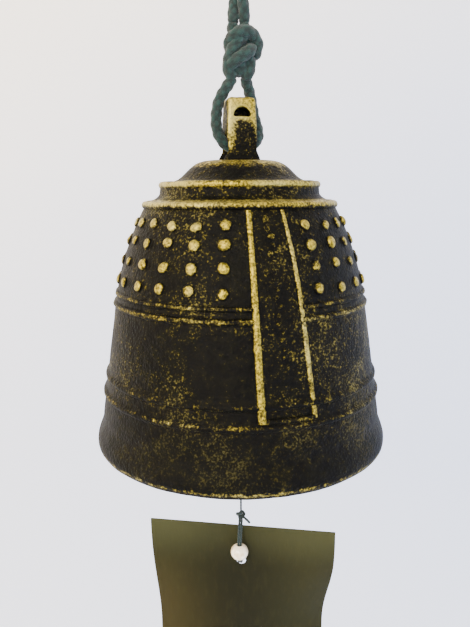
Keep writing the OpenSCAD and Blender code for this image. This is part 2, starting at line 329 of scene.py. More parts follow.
# %% Ties and the eye on the staple
tie_route = [(0, -0.3, -20.9), (0, -1.0, -22.6), (0, -1.9, -24.6), (0, -2.5, -26.6),
             (0, -2.6, -28.8), (0, -2.5, -30.9), (0, -1.5, -32.2), (0, 0.6, -32.6),
             (0, 1.2, -32.6)]
ties = [rope(f"tie_{s}", [card_at(x + s * 0.27, y, z) for x, y, z in tie_route], 0.25,
             two_ply, 0.14, 9)[0] for s in (-1, 1)]
card_ties = join(ties, "ties_through_bead")
eye = [(0, 1.3 * cos(a), 50.2 + 1.3 * sin(a)) for a in [radians(k * 15 - 100) for k in range(26)]]
staple_loop, _ = rope("eye_on_staple", eye, 0.25, two_ply, 0.14, 9)
print("small knots and ties made")


# %% [markdown]
# ## Modelling by hand, in code
# The metal pieces are modelled with the same operators as a person would use. A piece starts as
# a primitive, is shaped in edit mode, and is finished with modifiers that are then applied. At
# the end its place, turn and size are applied too, so that its mesh holds them. Patterns of
# the materials then stay fixed to the piece wherever it swings.

# %% Small steps
def edit():
    bpy.ops.object.mode_set(mode="EDIT")


def everything():
    bpy.ops.mesh.select_all(action="SELECT")


def alone(obj):
    """Select one object only, and make it the active one."""
    clear()
    bpy.context.view_layer.objects.active = obj
    obj.select_set(True)


def extrude(by):
    bpy.ops.mesh.extrude_region_move(TRANSFORM_OT_translate={"value": by})


def pick(test, kind="VERT"):
    """Select the points, edges or faces of the mesh in edit mode whose middle passes a test."""
    bpy.ops.mesh.select_mode(type=kind)
    bpy.ops.mesh.select_all(action="DESELECT")
    mesh = bmesh.from_edit_mesh(bpy.context.object.data)
    place = bpy.context.object.matrix_world
    if kind == "VERT":
        found = [(v, place @ v.co) for v in mesh.verts]
    elif kind == "EDGE":
        found = [(e, place @ ((e.verts[0].co + e.verts[1].co) / 2)) for e in mesh.edges]
    else:
        found = [(f, place @ f.calc_center_median()) for f in mesh.faces]
    for element, middle in found:
        if test(middle):
            element.select_set(True)
    mesh.select_flush(True)
    bmesh.update_edit_mesh(bpy.context.object.data)


def apply_modifier(obj, kind, **settings):
    """Add a modifier with its settings and apply it."""
    bpy.context.view_layer.objects.active = obj
    modifier = obj.modifiers.new(kind.lower(), kind)
    for key, value in settings.items():
        setattr(modifier, key, value)
    bpy.ops.object.modifier_apply(modifier=modifier.name)


def finished(name, smooth=40):
    """Leave edit mode, put the place into the mesh, smooth the shading and name the piece."""
    bpy.ops.object.mode_set(mode="OBJECT")
    bpy.ops.object.transform_apply(location=True, rotation=True, scale=True)
    obj = bpy.context.object
    obj.name = obj.data.name = name
    bpy.ops.object.shade_smooth_by_angle(angle=radians(smooth))
    return obj


def tidy_mesh(gap=0.000002):
    """Join points that lie together, and turn every face outwards."""
    everything()
    bpy.ops.mesh.remove_doubles(threshold=gap)
    bpy.ops.mesh.normals_make_consistent(inside=False)


def turned(name, outline, steps, smooth=50):
    """A piece turned on a lathe: its outline is drawn point by point and spun once round."""
    clear()
    points = [at(r, 0, z) for r, z in outline]
    bpy.ops.mesh.primitive_plane_add(size=0.0001, location=points[0])
    edit()
    bpy.ops.mesh.select_mode(type="VERT")
    everything()
    bpy.ops.mesh.merge(type="CENTER")
    for a, b in zip(points, points[1:]):
        bpy.ops.mesh.extrude_vertices_move(TRANSFORM_OT_translate={"value": b - a})
    everything()
    bpy.ops.mesh.spin(steps=steps, angle=tau, center=at(0, 0, 0), axis=(0, 0, 1))
    tidy_mesh()
    return finished(name, smooth)


def numbers(obj, name, values):
    """Keep one number for each point of a piece, for its material to read."""
    found = obj.data.attributes.get(name) or obj.data.attributes.new(name, "FLOAT", "POINT")
    found.data.foreach_set("value", [float(v) for v in values])


def from_rim(obj):
    """The points of a piece in millimetres, with heights from the rim, as rows of x, y, z."""
    co = np.array([v.co for v in obj.data.vertices], float).reshape(-1, 3)
    return (co - [0, 0, RIM]) * 1000


# %% [markdown]
# ## The bell
# A temple bell is cast in one piece: a long waist that flares to a lip, a shoulder with two
# raised rings, a domed crown and a loop to hang it by. The shell is turned, because everything
# but its ornament is round. The outline runs from the ceiling of the hollow down the inside,
# round the lip and up the outside, and the raised rings are drawn into it.

# %% Outline of the shell
def wall(z):
    """Outer radius of the waist, without ornament, at a height from the rim."""
    return 30.9 - 0.148 * (z - 8) - 3.46 * (max(0, z - 30) / 21.5) ** 2.4


def lip(z):
    """Outer radius between the lip's edge and the waist."""
    return 30.9 + 1.5 * (1 + cos(pi * (z - 1.9) / 6.1)) / 2


def ring(r, z, thick, first, last, count=9):
    """Points on the bulge of a raised ring."""
    turns = [radians(first + (last - first) * i / (count - 1)) for i in range(count)]
    return [(r + thick * cos(a), z + thick * sin(a)) for a in turns]


def band(z, middle, thick=0.75):
    """How far a low band stands proud of the wall at a height."""
    return max(0.0, sqrt(max(0.0, thick ** 2 - (z - middle) ** 2)) - 0.15)


INNER_R, WALL_THICK, LIP_R, LIP_ROUND = 27.6, 2.8, 32.4, 1.6
inside = [(0, 55), (4, 55), (7, 54.6), (9.8, 54.1), (12.6, 53.4), (15, 52.4), (17.2, 51.2),
          (20.5, 49.8)]
inside += [(wall(z) - WALL_THICK, z) for z in range(48, 11, -2)]
inside += [(27.75, 9), (INNER_R, 6), (INNER_R, 3.4), (27.65, 2.3), (27.85, 1.55),
           (28.25, 0.95), (28.8, 0.45), (29.4, 0.12), (30.1, 0)]
foot = [(30.8, 0)] + [(LIP_R - LIP_ROUND * (1 - cos(radians(a))), 1.9 * (1 + sin(radians(a))))
                      for a in range(-80, 0, 10)]
lips = [(lip(1.9 + 6.1 * i / 20), 1.9 + 6.1 * i / 20) for i in range(20)]
waist = [(wall(z) + band(z, 13.3) + 0.8 * band(z, 17.1), z)
         for z in [8 + 43.5 * i / 130 for i in range(131)]]
crown = ring(20.2, 52.9, 0.8, -60, 100) + [(19.7, 53.85)]
crown += [(17 + 2.8 * (1 - sin(radians(a))), 53.8 + 2 * (1 - cos(radians(a))))
          for a in range(10, 80, 10)]
crown += ring(16.6, 57, 0.75, -55, 100) + [(15.6, 57.7), (14.7, 57.72), (14.0, 57.85)]
crown += [(13.2, 58.2), (12.5, 58.7), (11.9, 59.25), (11.3, 59.85), (10.7, 60.45), (10.1, 60.95),
          (9.4, 61.4), (8.6, 61.75), (7.8, 61.95), (7, 62.02), (6, 62.02), (4.5, 62.02),
          (3, 62.02), (0, 62.02)]
outline = inside + foot + lips + waist + crown
print(len(outline), "points in the shell's outline")

# %% Turn the shell
bell_shell = turned("bell_shell", outline, 200)
print("shell:", len(bell_shell.data.polygons), "faces")


# %% [markdown]
# ## Cast metal is never even
# Sand casting and years of handling leave a wavy, pitted skin with worn high places. The waves
# are real moves of the points, made by a smooth noise. The wear is a number on each point,
# high on the rings and on the lip's edge, and the material turns it into bare brass.

# %% Waves and wear
def uneven(obj, depth, grain, seed=0.0, share=None):
    """Push each point along its normal by a smooth noise, with a depth and grain in mm.
    share is how much of it each point takes."""
    mesh = obj.data
    moves = []
    for i, v in enumerate(mesh.vertices):
        p = v.co * 1000
        n = noise.noise(p / grain + Vector((seed, 0, 0)))
        n += 0.5 * noise.noise(p * 2.7 / grain + Vector((0, seed + 5, 0)))
        moves.append(v.normal * (n * depth * (1 if share is None else share[i]) / 1000))
    for v, move in zip(mesh.vertices, moves):
        v.co += move


def hump(x, middle, width):
    return np.exp(-((x - middle) / width) ** 2)


rows = from_rim(bell_shell)
radius, height = np.hypot(rows[:, 0], rows[:, 1]), rows[:, 2]
# Halfway through the metal, so that the hollow takes neither the wear nor the deep waves
halfway = np.minimum(np.vectorize(wall)(height) - 1.2, 29.3)
outer = (radius > halfway) | (height > 53.2) & (radius > 14) | (height > 57.5)
wear = (0.85 * hump(height, 53.4, 0.85) * (radius > 18.2)
        + 0.95 * hump(height, 57.15, 0.85) * (radius > 14.7)
        + 0.42 * hump(height, 13.5, 0.5) + 0.36 * hump(height, 17.2, 0.5)
        + 0.5 * hump(height, 1.3, 0.65) * (radius > 29.5) + 0.3 * (height < 0.1)
        + 0.72 * hump(radius, 8.9, 2.0) * (height > 60))
numbers(bell_shell, "worn", np.where(outer, np.clip(wear, 0, 1), 0.0))
uneven(bell_shell, 0.07, 5.0, share=np.where(outer, 1.0, 0.1).tolist())
print(f"wear on {int((wear > 0.3).sum())} points of {len(wear)}")

# %% [markdown]
# ## Bosses, bands and sashes
# Rows of bosses cover the shoulder in two fields, and a pair of ribs, called a sash here, runs
# down the bell between the fields, front and back. One boss is modelled and copied. Each copy
# is turned, stretched and pressed in by its own small amount, drawn from a seeded list, because
# bosses cast this small never come out alike.

# %% One boss
clear()
bpy.ops.mesh.primitive_uv_sphere_add(segments=14, ring_count=9, radius=0.0012)
edit()
bpy.ops.transform.resize(value=(1, 1, 0.95))
pick(lambda p: p.z > 0.0006)
bpy.ops.transform.resize(value=(1.12, 1.12, 0.9), center_override=(0, 0, 0.0006))
tidy_mesh()
boss = finished("boss", 180)
print("one boss:", len(boss.data.polygons), "faces")


def placed_copy(obj, place):
    """A copy of a piece with its own mesh, moved there."""
    copy = obj.copy()
    copy.data = obj.data.copy()
    copy.data.transform(place)
    into_scene(copy)
    return copy


def on_wall(angle, z, sink, spread, spin):
    """The place on the wall at an angle in degrees: Z stands straight out of the metal."""
    slope = wall(z + 0.5) - wall(z - 0.5)
    out = Matrix.Rotation(radians(angle), 4, "Z") @ Matrix.Rotation(pi / 2 + slope, 4, "Y")
    spot = Matrix.Rotation(radians(angle), 4, "Z") @ Vector((wall(z) - sink, 0, 0))
    size = Matrix.Diagonal((*spread, 1))
    return (Matrix.Translation(at(spot.x, spot.y, z)) @ out
            @ Matrix.Rotation(spin, 4, "Z") @ size)


# %% Fields of bosses
chance = random.Random(7)
BOSS_ROWS, BOSSES_IN_ROW, FIRST_BOSS, BOSS_STEP = (49.2, 45.8, 41.8, 37.5), 11, 20.5, 13.9
bosses = []
for side in (-90, 90):
    for z in BOSS_ROWS:
        for k in range(BOSSES_IN_ROW):
            spread = [chance.uniform(0.92, 1.18), chance.uniform(0.92, 1.18),
                      chance.uniform(0.7, 0.95)]
            angle = side + FIRST_BOSS + BOSS_STEP * k + chance.uniform(-0.5, 0.5)
            bosses.append(placed_copy(boss, on_wall(angle, z + chance.uniform(-0.25, 0.25), 0.25,
                                                    spread, chance.uniform(0, tau))))
bpy.data.objects.remove(boss)
bell_bosses = join(bosses, "bell_bosses")
uneven(bell_bosses, 0.13, 1.3, 3.0)
print(len(bosses), "bosses")


# %% Ribs of the sashes
def rib(angle, slant, bottom, top, thick_bottom, thick_top, steps=26):
    """A half-round rib drawn up the wall: a flat ring extruded and narrowed step by step.
    slant is how many degrees its foot stands to one side."""
    def on(z, sink=0.25):
        turn = radians(angle + slant * (top - z) / (top - bottom))
        return at((wall(z) - sink) * cos(turn), (wall(z) - sink) * sin(turn), z)

    clear()
    bpy.ops.mesh.primitive_circle_add(vertices=16, radius=thick_bottom / 2000, fill_type="NGON",
                                      location=on(bottom), rotation=(0, 0, radians(angle)))
    edit()
    everything()
    heights = [bottom + (top - bottom) * i / steps for i in range(steps + 1)]
    thick = thick_bottom
    for low, high in zip(heights, heights[1:]):
        extrude(on(high) - on(low))
        new = thick_bottom + (thick_top - thick_bottom) * (high - bottom) / (top - bottom)
        bpy.ops.transform.resize(value=(new / thick, new / thick, 1), center_override=on(high))
        thick = new
    tidy_mesh()
    return finished(f"rib_{angle}", 60)


ribs = [rib(side + s * 9, 4.1 + s, 14.2, 52.2, 1.6 - 0.3 * s, 1.1 - 0.1 * s)
        for side in (-90, 90) for s in (-1, 1)]
print(len(ribs), "ribs")


# %% Bands between the sashes, and the feet of the sashes
def arc(name, z, first, last, thick, sink=0.2):
    """A half-round band round part of the bell: a small ring spun about the bell's axis."""
    clear()
    turn = radians(first)
    r = wall(z) - sink
    bpy.ops.mesh.primitive_circle_add(vertices=12, radius=thick / 1000, fill_type="NOTHING",
                                      location=at(r * cos(turn), r * sin(turn), z),
                                      rotation=(pi / 2, 0, turn))
    edit()
    everything()
    bpy.ops.mesh.spin(steps=max(6, round((last - first) / 2)), angle=-radians(last - first),
                      center=at(0, 0, z), axis=(0, 0, 1))
    bpy.ops.mesh.select_all(action="DESELECT")
    bpy.ops.mesh.select_non_manifold()
    bpy.ops.mesh.edge_face_add()
    tidy_mesh()
    return finished(name, 60)


bands = [arc(f"band_{z}_{side}", z, side + 11.5, side + 172.5, t)
         for side in (-90, 90) for z, t in ((32.4, 0.7), (34.7, 0.62))]
feet = [arc(f"foot_{side}", 14.3, side - 6, side + 14, 0.7) for side in (-90, 90)]
print(len(bands), "bands and", len(feet), "feet")

# %% Nubs down the middle of each sash
clear()
bpy.ops.mesh.primitive_ico_sphere_add(subdivisions=2, radius=0.0006)
edit()
bpy.ops.transform.resize(value=(1.25, 1, 0.7))
nub = finished("nub", 180)
NUBS, TOP_NUB, NUB_STEP = 17, 50.6, 1.55
nubs = []
for side in (-90, 90):
    for i in range(NUBS):
        grow = 1.0 - 0.035 * i
        nubs.append(placed_copy(nub, on_wall(side + 0.17 * i + chance.uniform(-0.9, 0.9),
                                             TOP_NUB - NUB_STEP * i, 0.12,
                                             [grow * chance.uniform(0.8, 1.15)] * 2 + [0.8],
                                             chance.uniform(0, tau))))
bpy.data.objects.remove(nub)
print(len(nubs), "nubs")

# %% Wear of the ornament, with painted shade on the right ribs
def proud_of_wall(part):
    """How far each point stands out of the plain wall, and its height, in millimetres."""
    rows = from_rim(part)
    return np.hypot(rows[:, 0], rows[:, 1]) - [wall(z) for z in rows[:, 2]], rows[:, 2]


for i, part in enumerate(ribs):
    proud, height = proud_of_wall(part)
    # The right rib of each sash gets less bare brass and fades more towards the bottom: this is
    # partly wear and partly painted shade, for the rib that turns from the light.
    crest = 0.7 - 0.35 * height / 52 if i % 2 == 0 else 0.4 - 0.15 * height / 52
    wear_and_painted_shade = 0.86 - 0.1 * (1 - height / 50) if i % 2 == 0 else 0.84 - 0.3 * (1 - height / 52)
    numbers(part, "worn", np.clip((proud / crest - 0.1) / 0.45, 0, 1) * wear_and_painted_shade)
for part, share in [(b, 0.5) for b in bands] + [(f, 0.34) for f in feet]:
    proud, height = proud_of_wall(part)
    numbers(part, "worn", np.clip(proud / 0.5, 0, 1) * share)
for part in nubs:
    numbers(part, "worn", [0.42] * len(part.data.vertices))
bell_sashes = join(ribs + bands + feet + nubs, "bell_sashes")
uneven(bell_sashes, 0.11, 1.6, 9.0)
proud, height = proud_of_wall(bell_bosses)
numbers(bell_bosses, "worn", np.clip((proud - 0.08) / 0.5, 0, 1))
print("bosses stand up to", round(float(proud.max()), 2), "mm proud")

# %% [markdown]
# ## The loop on the crown
# The loop is a stout block with a rounded top. It is bored from side to side for the cord, and
# a small arched window is sunk in its front and back. The block is a cube with a tapered top,
# the holes are cut with booleans, and a fine remesh melts the edges together as casting does.

# %% Block
clear()
bpy.ops.mesh.primitive_cube_add(size=1, location=at(0, 0, 67.6), scale=(0.0072, 0.0066, 0.0144))
edit()
pick(lambda p: p.z > at(0, 0, 73).z)
bpy.ops.transform.resize(value=(0.8, 0.9, 1), center_override=at(0, 0, 74.8))
everything()
bpy.ops.mesh.select_mode(type="FACE")
bpy.ops.mesh.subdivide(number_cuts=7)
pick(lambda p: p.z < at(0, 0, 63.6).z)
bpy.ops.transform.resize(value=(1.13, 1.08, 1), center_override=at(0, 0, 60.5))
pick(lambda p: p.z < at(0, 0, 61.6).z)
bpy.ops.transform.resize(value=(1.14, 1.12, 1), center_override=at(0, 0, 60.5))
crown_loop = finished("crown_loop", 180)
apply_modifier(crown_loop, "BEVEL", width=0.0009, segments=3, limit_method="ANGLE",
               angle_limit=radians(50))


def cut(target, cutter):
    """Take the cutter's shape out of the target."""
    apply_modifier(target, "BOOLEAN", object=cutter, operation="DIFFERENCE", solver="EXACT")
    bpy.data.objects.remove(cutter)


# %% Cutters
PASSAGE_Z, WINDOW_Z = 64.5, 70.9
bore = [(0, -6), (3.7, -6), (3.2, -3.4), (1.75, -0.5), (1.75, 0.5), (3.2, 3.4), (3.7, 6), (0, 6)]
passage = turned("passage", [(r, z + PASSAGE_Z) for r, z in bore], 32)
bore_middle = at(0, 0, PASSAGE_Z)
passage.data.transform(Matrix.Translation(bore_middle) @ Matrix.Rotation(pi / 2, 4, "Y")
                       @ Matrix.Translation(-bore_middle))
windows = []
for side in (-1, 1):
    clear()
    bpy.ops.mesh.primitive_cylinder_add(
        vertices=32, radius=0.00185, depth=0.0056,
        location=at(0, 3.4 * side, WINDOW_Z), rotation=(pi / 2, 0, 0))
    edit()
    everything()
    bpy.ops.mesh.bisect(plane_co=at(0, 0, WINDOW_Z), plane_no=(0, 0, 1), use_fill=True,
                        clear_inner=True)
    tidy_mesh()
    windows.append(finished(f"window_{side}"))
clear()
bpy.ops.mesh.primitive_cube_add(size=1, location=at(0.2, -3.55, 70.25),
                                scale=(0.009, 0.0011, 0.0006))
edit()
pick(lambda p: p.x > 0)
bpy.ops.transform.translate(value=(0, 0, 0.0003))
groove = finished("groove")
for cutter in (passage, *windows, groove):
    cut(crown_loop, cutter)
print("loop cut:", len(crown_loop.data.polygons), "faces")

# %% Melt the loop's edges
apply_modifier(crown_loop, "REMESH", mode="VOXEL", voxel_size=0.00016)
apply_modifier(crown_loop, "SMOOTH", factor=0.5, iterations=5)
alone(crown_loop)
bpy.ops.object.shade_smooth()
uneven(crown_loop, 0.07, 1.8, 4.0)
print("loop melted:", len(crown_loop.data.polygons), "faces")

# %% Polish of the loop, with a patch of painted shade
rows = from_rim(crown_loop)
normals = np.array([v.normal for v in crown_loop.data.vertices], float).reshape(-1, 3)
x, y, z = rows.T
high = np.clip((z - 66.5) / 5, 0, 1)
rim_left = hump(x, -2.6, 1.3) * (z > 62.5)
rim_right = hump(x, 3.0, 0.9) * np.clip((z - 64) / 4, 0, 1)
polish_and_shade = 0.4 * high + 0.55 * np.clip((z - 69.8) / 1.2, 0, 1) + 0.62 * rim_left + 0.5 * rim_right
# Painted shade: a darker patch low on the front of the loop, over the bore, stands for the shade
# of a recess there.
polish_and_shade -= 0.5 * hump(x, 0.5, 1.5) * hump(z, 65.0, 3.0)
polish_and_shade *= np.clip((z - 62.6) / 2.4, 0, 1)
polish_and_shade *= np.clip(np.abs(normals[:, 1]) + np.clip(normals[:, 2], 0, 1) + 0.15, 0, 1)
hollow = (np.abs(x) < 1.9) & (np.abs(y) < 2.7) & (z > 70.5) & (z < 73)
numbers(crown_loop, "worn", np.where(hollow, 0.05, np.clip(polish_and_shade + 0.12, 0, 1)))
print("the loop is polished at", int((polish_and_shade > 0.5).sum()), "of its points")


# %% [markdown]
# ## Inside the bell
# A brass staple is cast into the ceiling of the hollow, and the clapper hangs from it on the
# thread. The staple is a small ring swept round a half turn and then drawn straight up. The
# clapper is a turned disc, thinner at its edge, with a raised hub where the thread goes through.

# %% Staple
clear()
bpy.ops.mesh.primitive_circle_add(vertices=16, radius=0.0007, fill_type="NOTHING",
                                  location=at(2.2, 0, 52.7))
edit()
everything()
bpy.ops.mesh.spin(steps=20, angle=-pi, center=at(0, 0, 52.7), axis=(0, -1, 0))
tops = at(0, 0, 52.7).z
pick(lambda p: abs(p.z - tops) < 1e-6, "EDGE")
extrude((0, 0, 0.0045))
pick(lambda p: p.z > tops + 0.004, "EDGE")
bpy.ops.mesh.edge_face_add()
tidy_mesh()
clapper_staple = finished("cast_in_staple", 60)
print("staple reaches from", [round(1000 * (v - RIM), 1) for v in
                              (min(p.co.z for p in clapper_staple.data.vertices),
                               max(p.co.z for p in clapper_staple.data.vertices))])

# %% Clapper
disc = [(0.6, 10.35), (2.6, 10.3), (3.1, 10.5), (3.5, 10.9), (4.4, 11.0), (8.6, 10.75),
        (11.6, 10.3), (12.5, 10.35), (13.15, 10.8), (13.45, 11.5), (13.45, 12.5), (13.15, 13.2),
        (12.5, 13.65), (11.6, 13.7), (8.6, 13.25), (4.4, 13.0), (3.5, 13.1), (3.1, 13.5),
        (2.6, 13.7), (0.9, 13.65), (0.6, 13.3)]
clapper = turned("clapper_disc", disc + disc[:1], 96, smooth=35)
rows = from_rim(clapper)
edge = np.hypot(rows[:, 0], rows[:, 1])
numbers(clapper, "worn", np.clip(hump(edge, 13.2, 0.8) + hump(edge, 2.8, 0.6) + 0.25, 0, 1))
uneven(clapper, 0.05, 3.0, 12.0)
print("clapper:", len(clapper.data.polygons), "faces")

# %% [markdown]
# ## The hook
# The hook's wire is one round section drawn along its line: round the bend, back over the neck
# and straight up to the flange. Two spins and an extrude do that exactly. The flange is turned,
# and the wood screw's thread is a small triangle wound up the core by the Screw modifier.

# %% Wire of the hook
BEND, NECK, CENTRE, SHANK_TOP = 6.8, 3.0, 116.8, 129.2
rise = sqrt((BEND + NECK) ** 2 - NECK ** 2)
neck_turn = np.arctan2(rise, NECK)
tip = radians(166)
clear()
bpy.ops.mesh.primitive_circle_add(
    vertices=20, radius=0.0013, fill_type="NOTHING",
    location=at(0, BEND * cos(tip), CENTRE + BEND * sin(tip)),
    rotation=(tip, 0, 0))
edit()
everything()
extrude(Vector((0, sin(tip), -cos(tip))) * 0.0008)
bpy.ops.transform.resize(value=(0.55, 0.55, 0.55))
bpy.ops.mesh.edge_face_add()
far = at(0, BEND * cos(tip), CENTRE + BEND * sin(tip))
pick(lambda p: abs((p - far).dot(Vector((0, sin(tip), -cos(tip))))) < 1e-5)
bpy.ops.mesh.spin(steps=44, angle=-(tau - tip + neck_turn), center=at(0, 0, CENTRE),
                  axis=(1, 0, 0))
joint_y, joint_z = BEND * cos(neck_turn), CENTRE + BEND * sin(neck_turn)
wire_end = max(((bpy.context.object.matrix_world @ v.co - at(0, joint_y, joint_z)).length
                for v in bmesh.from_edit_mesh(bpy.context.object.data).verts if v.select),
               default=9)
print(f"the bend ends within {1000 * wire_end:.2f} mm of its joint with the neck")

# %% Neck and shank of the hook
bpy.ops.mesh.spin(steps=10, angle=neck_turn, center=at(0, NECK, CENTRE + rise), axis=(1, 0, 0))
extrude(Vector((0, 0, at(0, 0, SHANK_TOP).z - at(0, 0, CENTRE + rise).z)))
bpy.ops.mesh.edge_face_add()
tidy_mesh()
hook_wire = finished("hook_wire", 60)
flange = turned("flange", [(0, 128.8), (1.9, 128.8), (3.6, 129.05), (4.2, 129.25), (4.5, 129.55),
                           (4.5, 129.8), (4.35, 130), (0, 130)], 64, smooth=35)
core = turned("core", [(0, 129.9), (1.15, 129.9), (1.1, 138.5), (0.75, 140.4), (0.1, 142),
                       (0, 142)], 32)
print("hook top at", round(1000 * (max(v.co.z for v in core.data.vertices)), 1), "mm")

# %% Thread of the screw
start = at(0, 0, 130.5)
clear()
bpy.ops.mesh.primitive_circle_add(vertices=3, radius=0.00042, fill_type="NGON",
                                  location=at(1.08, 0, 130.5), rotation=(pi / 2, pi / 2, 0))
edit()
everything()
bpy.ops.mesh.delete(type="ONLY_FACE")
thread = finished("thread")
thread.data.transform(Matrix.Translation(-start))
apply_modifier(thread, "SCREW", screw_offset=0.0011, iterations=8, steps=28, render_steps=28,
               axis="Z", use_merge_vertices=True)
thread.data.transform(Matrix.Translation(start))
bpy.context.view_layer.objects.active = thread
edit()
everything()
bpy.ops.mesh.fill_holes(sides=3)
tidy_mesh()
bpy.ops.object.mode_set(mode="OBJECT")
rows = from_rim(thread)
for v, row in zip(thread.data.vertices, rows):
    slim = 1 - 0.55 * max(0.0, (row[2] - 136.5) / 5.5)
    v.co.x *= slim
    v.co.y *= slim
ceiling_hook = join([hook_wire, flange, core, thread], "screw_hook")
print("hook:", len(ceiling_hook.data.polygons), "faces")

# %% [markdown]
# ## The bead
# The bead hangs in front of the card on the doubled thread. It is a globe bored from top to
# bottom: the small faces round the two poles are taken away, and the two holes are bridged by a
# wall of their own, which gives a true bore with an edge that a light can catch.

# %% Bead
bead_spot = Vector(card_at(0, -2.6, -28.8))
clear()
bpy.ops.mesh.primitive_uv_sphere_add(segments=48, ring_count=28, radius=0.0021,
                                     location=at(*bead_spot))
edit()
bpy.ops.transform.resize(value=(1, 1, 0.93))
pick(lambda p: (p - at(*bead_spot)).xy.length < 0.00062, "FACE")
bpy.ops.mesh.delete(type="FACE")
bpy.ops.mesh.select_mode(type="EDGE")
bpy.ops.mesh.select_all(action="DESELECT")
bpy.ops.mesh.select_non_manifold()
bpy.ops.mesh.bridge_edge_loops()
tidy_mesh()
bead = finished("glazed_bead", 50)
apply_modifier(bead, "BEVEL", width=0.00012, segments=2, limit_method="ANGLE",
               angle_limit=radians(40))
uneven(bead, 0.05, 1.5, 2.0)
print("bead:", len(bead.data.polygons), "faces")

# %% [markdown]
# ## The paper card
# The card catches the wind. It is a flat strip of stiff paper with a hole near its top, and it
# has taken a slight curl, so its lower part is a little rolled and looks narrower. The strip is
# made flat first, as paper is cut, then given its thickness, pierced, and only then rolled: a
# point keeps its distance along the paper, so the sheet neither stretches nor shrinks.

# %% Flat card
CARD_W, CARD_L, CARD_TOP, HOLE_DOWN = 45.0, 130.0, -23.4, 9.2
CURL, CURL_FULL_AT, CARD_YAW = 38, 31, 8
clear()
bpy.ops.mesh.primitive_grid_add(x_subdivisions=32, y_subdivisions=92, size=1, location=(0, 0, 0))
edit()
bpy.ops.transform.resize(value=(CARD_W / 1000, CARD_L / 1000, 1))
wind_card = finished("paper_card", 30)
apply_modifier(wind_card, "SOLIDIFY", thickness=0.0004, offset=0)
clear()
bpy.ops.mesh.primitive_cylinder_add(vertices=40, radius=0.0012, depth=0.004,
                                    location=(0, (CARD_L / 2 - HOLE_DOWN) / 1000, 0))
punch = finished("punch")
cut(wind_card, punch)
print("card:", len(wind_card.data.polygons), "faces")


# %% Curl of the card
def curled(p):
    """Where a point of the flat card, in metres, goes once the card is rolled and hung."""
    x, down, out = 1000 * p.x, CARD_L / 2 - 1000 * p.y, 1000 * p.z
    t = min(1.0, down / CURL_FULL_AT)
    t = t * t * (3 - 2 * t)
    bend = radians(CURL) * t / (CARD_W / 2)
    if bend > 1e-6:
        across, back = sin(bend * x) / bend, (1 - cos(bend * x)) / bend
        across += out * sin(bend * x)
        back -= out * cos(bend * x)
    else:
        across, back = x, -out
    yaw = radians(CARD_YAW) * t
    across, back = across * cos(yaw) - back * sin(yaw), across * sin(yaw) + back * cos(yaw)
    return at(*card_at(across, back, CARD_TOP - down))


for v in wind_card.data.vertices:
    v.co = curled(v.co)
alone(wind_card)
edit()
tidy_mesh(0.00001)
bpy.ops.object.mode_set(mode="OBJECT")
bpy.ops.object.shade_smooth_by_angle(angle=radians(35))
low = min(v.co.z for v in wind_card.data.vertices)
print(f"card hangs down to {1000 * low:.1f} mm")


# %% [markdown]
# ## Finishes as sums
# A material is a net of small nodes. Written as Python sums it reads like the recipe it is. One
# class wraps an output and adds a Math node for each sum, and another holds a material, makes
# any other node in one method, and joins the results to the surface. A number that is the same
# all over a piece is set on the surface's own socket.

# %% Sums of nodes
class Value:
    """An output of a node, to be added, multiplied or compared like a number."""

    def __init__(self, paint, output):
        self.paint, self.output = paint, output

    def sums(operation):
        """The operator with this output on its left, and with it on its right."""
        def left(self, other):
            return self.paint.node("Math", {0: self, 1: other}, operation=operation)

        def right(self, other):
            return self.paint.node("Math", {0: other, 1: self}, operation=operation)

        return left, right

    __add__, __radd__ = sums("ADD")
    __sub__, __rsub__ = sums("SUBTRACT")
    __mul__, __rmul__ = sums("MULTIPLY")

    def step(self, low, high):
        """0 below low, 1 above high, and a smooth rise between them."""
        return self.paint.node("MapRange", {0: self, 1: low, 2: high},
                               interpolation_type="SMOOTHSTEP")


class Paint:
    """A material and the nodes that make it."""

    def __init__(self, name, **fixed):
        self.material = bpy.data.materials.new(name)
        self.material.use_nodes = True
        self.nodes = self.material.node_tree.nodes
        self.links = self.material.node_tree.links
        self.surface = self.nodes["Principled BSDF"]
        for socket, value in fixed.items():
            self.surface.inputs[socket.replace("_", " ")].default_value = value

    def join(self, socket, value):
        if isinstance(value, Value):
            self.links.new(value.output, socket)
        else:
            socket.default_value = value

    def node(self, kind, sockets=None, out=0, **settings):
        """Any node: its type, its settings, then the values or links of its sockets."""
        made = self.nodes.new("ShaderNode" + kind)
        for key, value in settings.items():
            setattr(made, key, value)
        for key, value in (sockets or {}).items():
            self.join(made.inputs[key], value)
        return Value(self, made.outputs[out])

    def place(self):
        return self.node("TexCoord", out=3)

    def number(self, name):
        return self.node("Attribute", out=2, attribute_name=name)

    def noise(self, place, scale, detail=3.0, rough=0.55):
        return self.node("TexNoise", {"Vector": place, "Scale": scale, "Detail": detail,
                                      "Roughness": rough})

    def blend(self, factor, a, b):
        return self.node("Mix", {0: factor, 6: a, 7: b}, out=2, data_type="RGBA")

    def bump(self, height, depth):
        return self.node("Bump", {"Height": height, "Strength": 1.0, "Distance": depth})

    def show(self, **sockets):
        for socket, value in sockets.items():
            self.join(self.surface.inputs[socket.replace("_", " ")], value)
        print("finish:", self.material.name, "with", len(self.nodes), "nodes")
        return self.material


def tint(code):
    """A colour from its hex code, as the linear numbers that a shader wants."""
    parts = [int(code[i:i + 2], 16) / 255 for i in (1, 3, 5)]
    return tuple(c / 12.92 if c <= 0.04045 else ((c + 0.055) / 1.055) ** 2.4
                 for c in parts) + (1.0,)


# %% [markdown]
# ## Patinated brass
# The bell is brass under a black-brown patina. The patina is gone where hands and weather rub:
# on the rings, ribs and bosses, which carry a high number for wear, and on the tiny high grains
# of the casting, which a fine noise picks out. One mask made from both goes into the colour,
# the metal and the gloss together, so that bare brass is golden, metallic and smoother.

